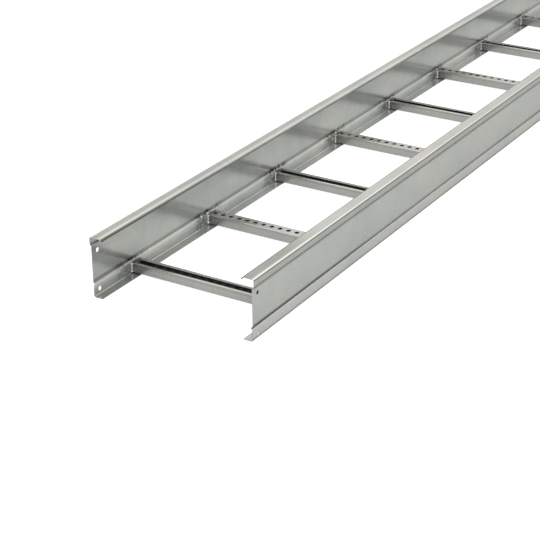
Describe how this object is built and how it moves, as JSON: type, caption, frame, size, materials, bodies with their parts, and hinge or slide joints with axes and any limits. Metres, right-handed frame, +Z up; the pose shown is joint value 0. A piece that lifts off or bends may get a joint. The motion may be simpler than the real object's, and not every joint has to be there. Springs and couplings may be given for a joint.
{
  "type": "cable ladder section",
  "caption": "Galvanised steel cable ladder: two channel side rails with inward flanges, joined by welded channel rungs that carry cables.",
  "frame": {"origin": "the middle of the ladder's length and width, on the plane that the bottom flanges stand on", "axes": "+X across the ladder to the right rail, +Y along the ladder away from the near end, +Z up out of the rungs"},
  "size_m": [0.404, 3, 0.139],
  "materials": {
    "side_rail_left": "hot-dip galvanised, faint spangle, satin to slightly glossy",
    "side_rail_right": "hot-dip galvanised, faint spangle, satin to slightly glossy",
    "rung_01": "hot-dip galvanised, faint spangle, satin to slightly glossy",
    "rung_02": "hot-dip galvanised, faint spangle, satin to slightly glossy",
    "rung_03": "hot-dip galvanised, faint spangle, satin to slightly glossy",
    "rung_04": "hot-dip galvanised, faint spangle, satin to slightly glossy",
    "rung_05": "hot-dip galvanised, faint spangle, satin to slightly glossy",
    "rung_06": "hot-dip galvanised, faint spangle, satin to slightly glossy",
    "rung_07": "hot-dip galvanised, faint spangle, satin to slightly glossy",
    "rung_08": "hot-dip galvanised, faint spangle, satin to slightly glossy",
    "rung_09": "hot-dip galvanised, faint spangle, satin to slightly glossy",
    "rung_10": "hot-dip galvanised, faint spangle, satin to slightly glossy"
  },
  "bodies": {
    "root": {"side_rail_left": "side_rail_left", "side_rail_right": "side_rail_right", "rung_01": "rung_01", "rung_02": "rung_02", "rung_03": "rung_03", "rung_04": "rung_04", "rung_05": "rung_05", "rung_06": "rung_06", "rung_07": "rung_07", "rung_08": "rung_08", "rung_09": "rung_09", "rung_10": "rung_10"}
  },
  "joints": []
}
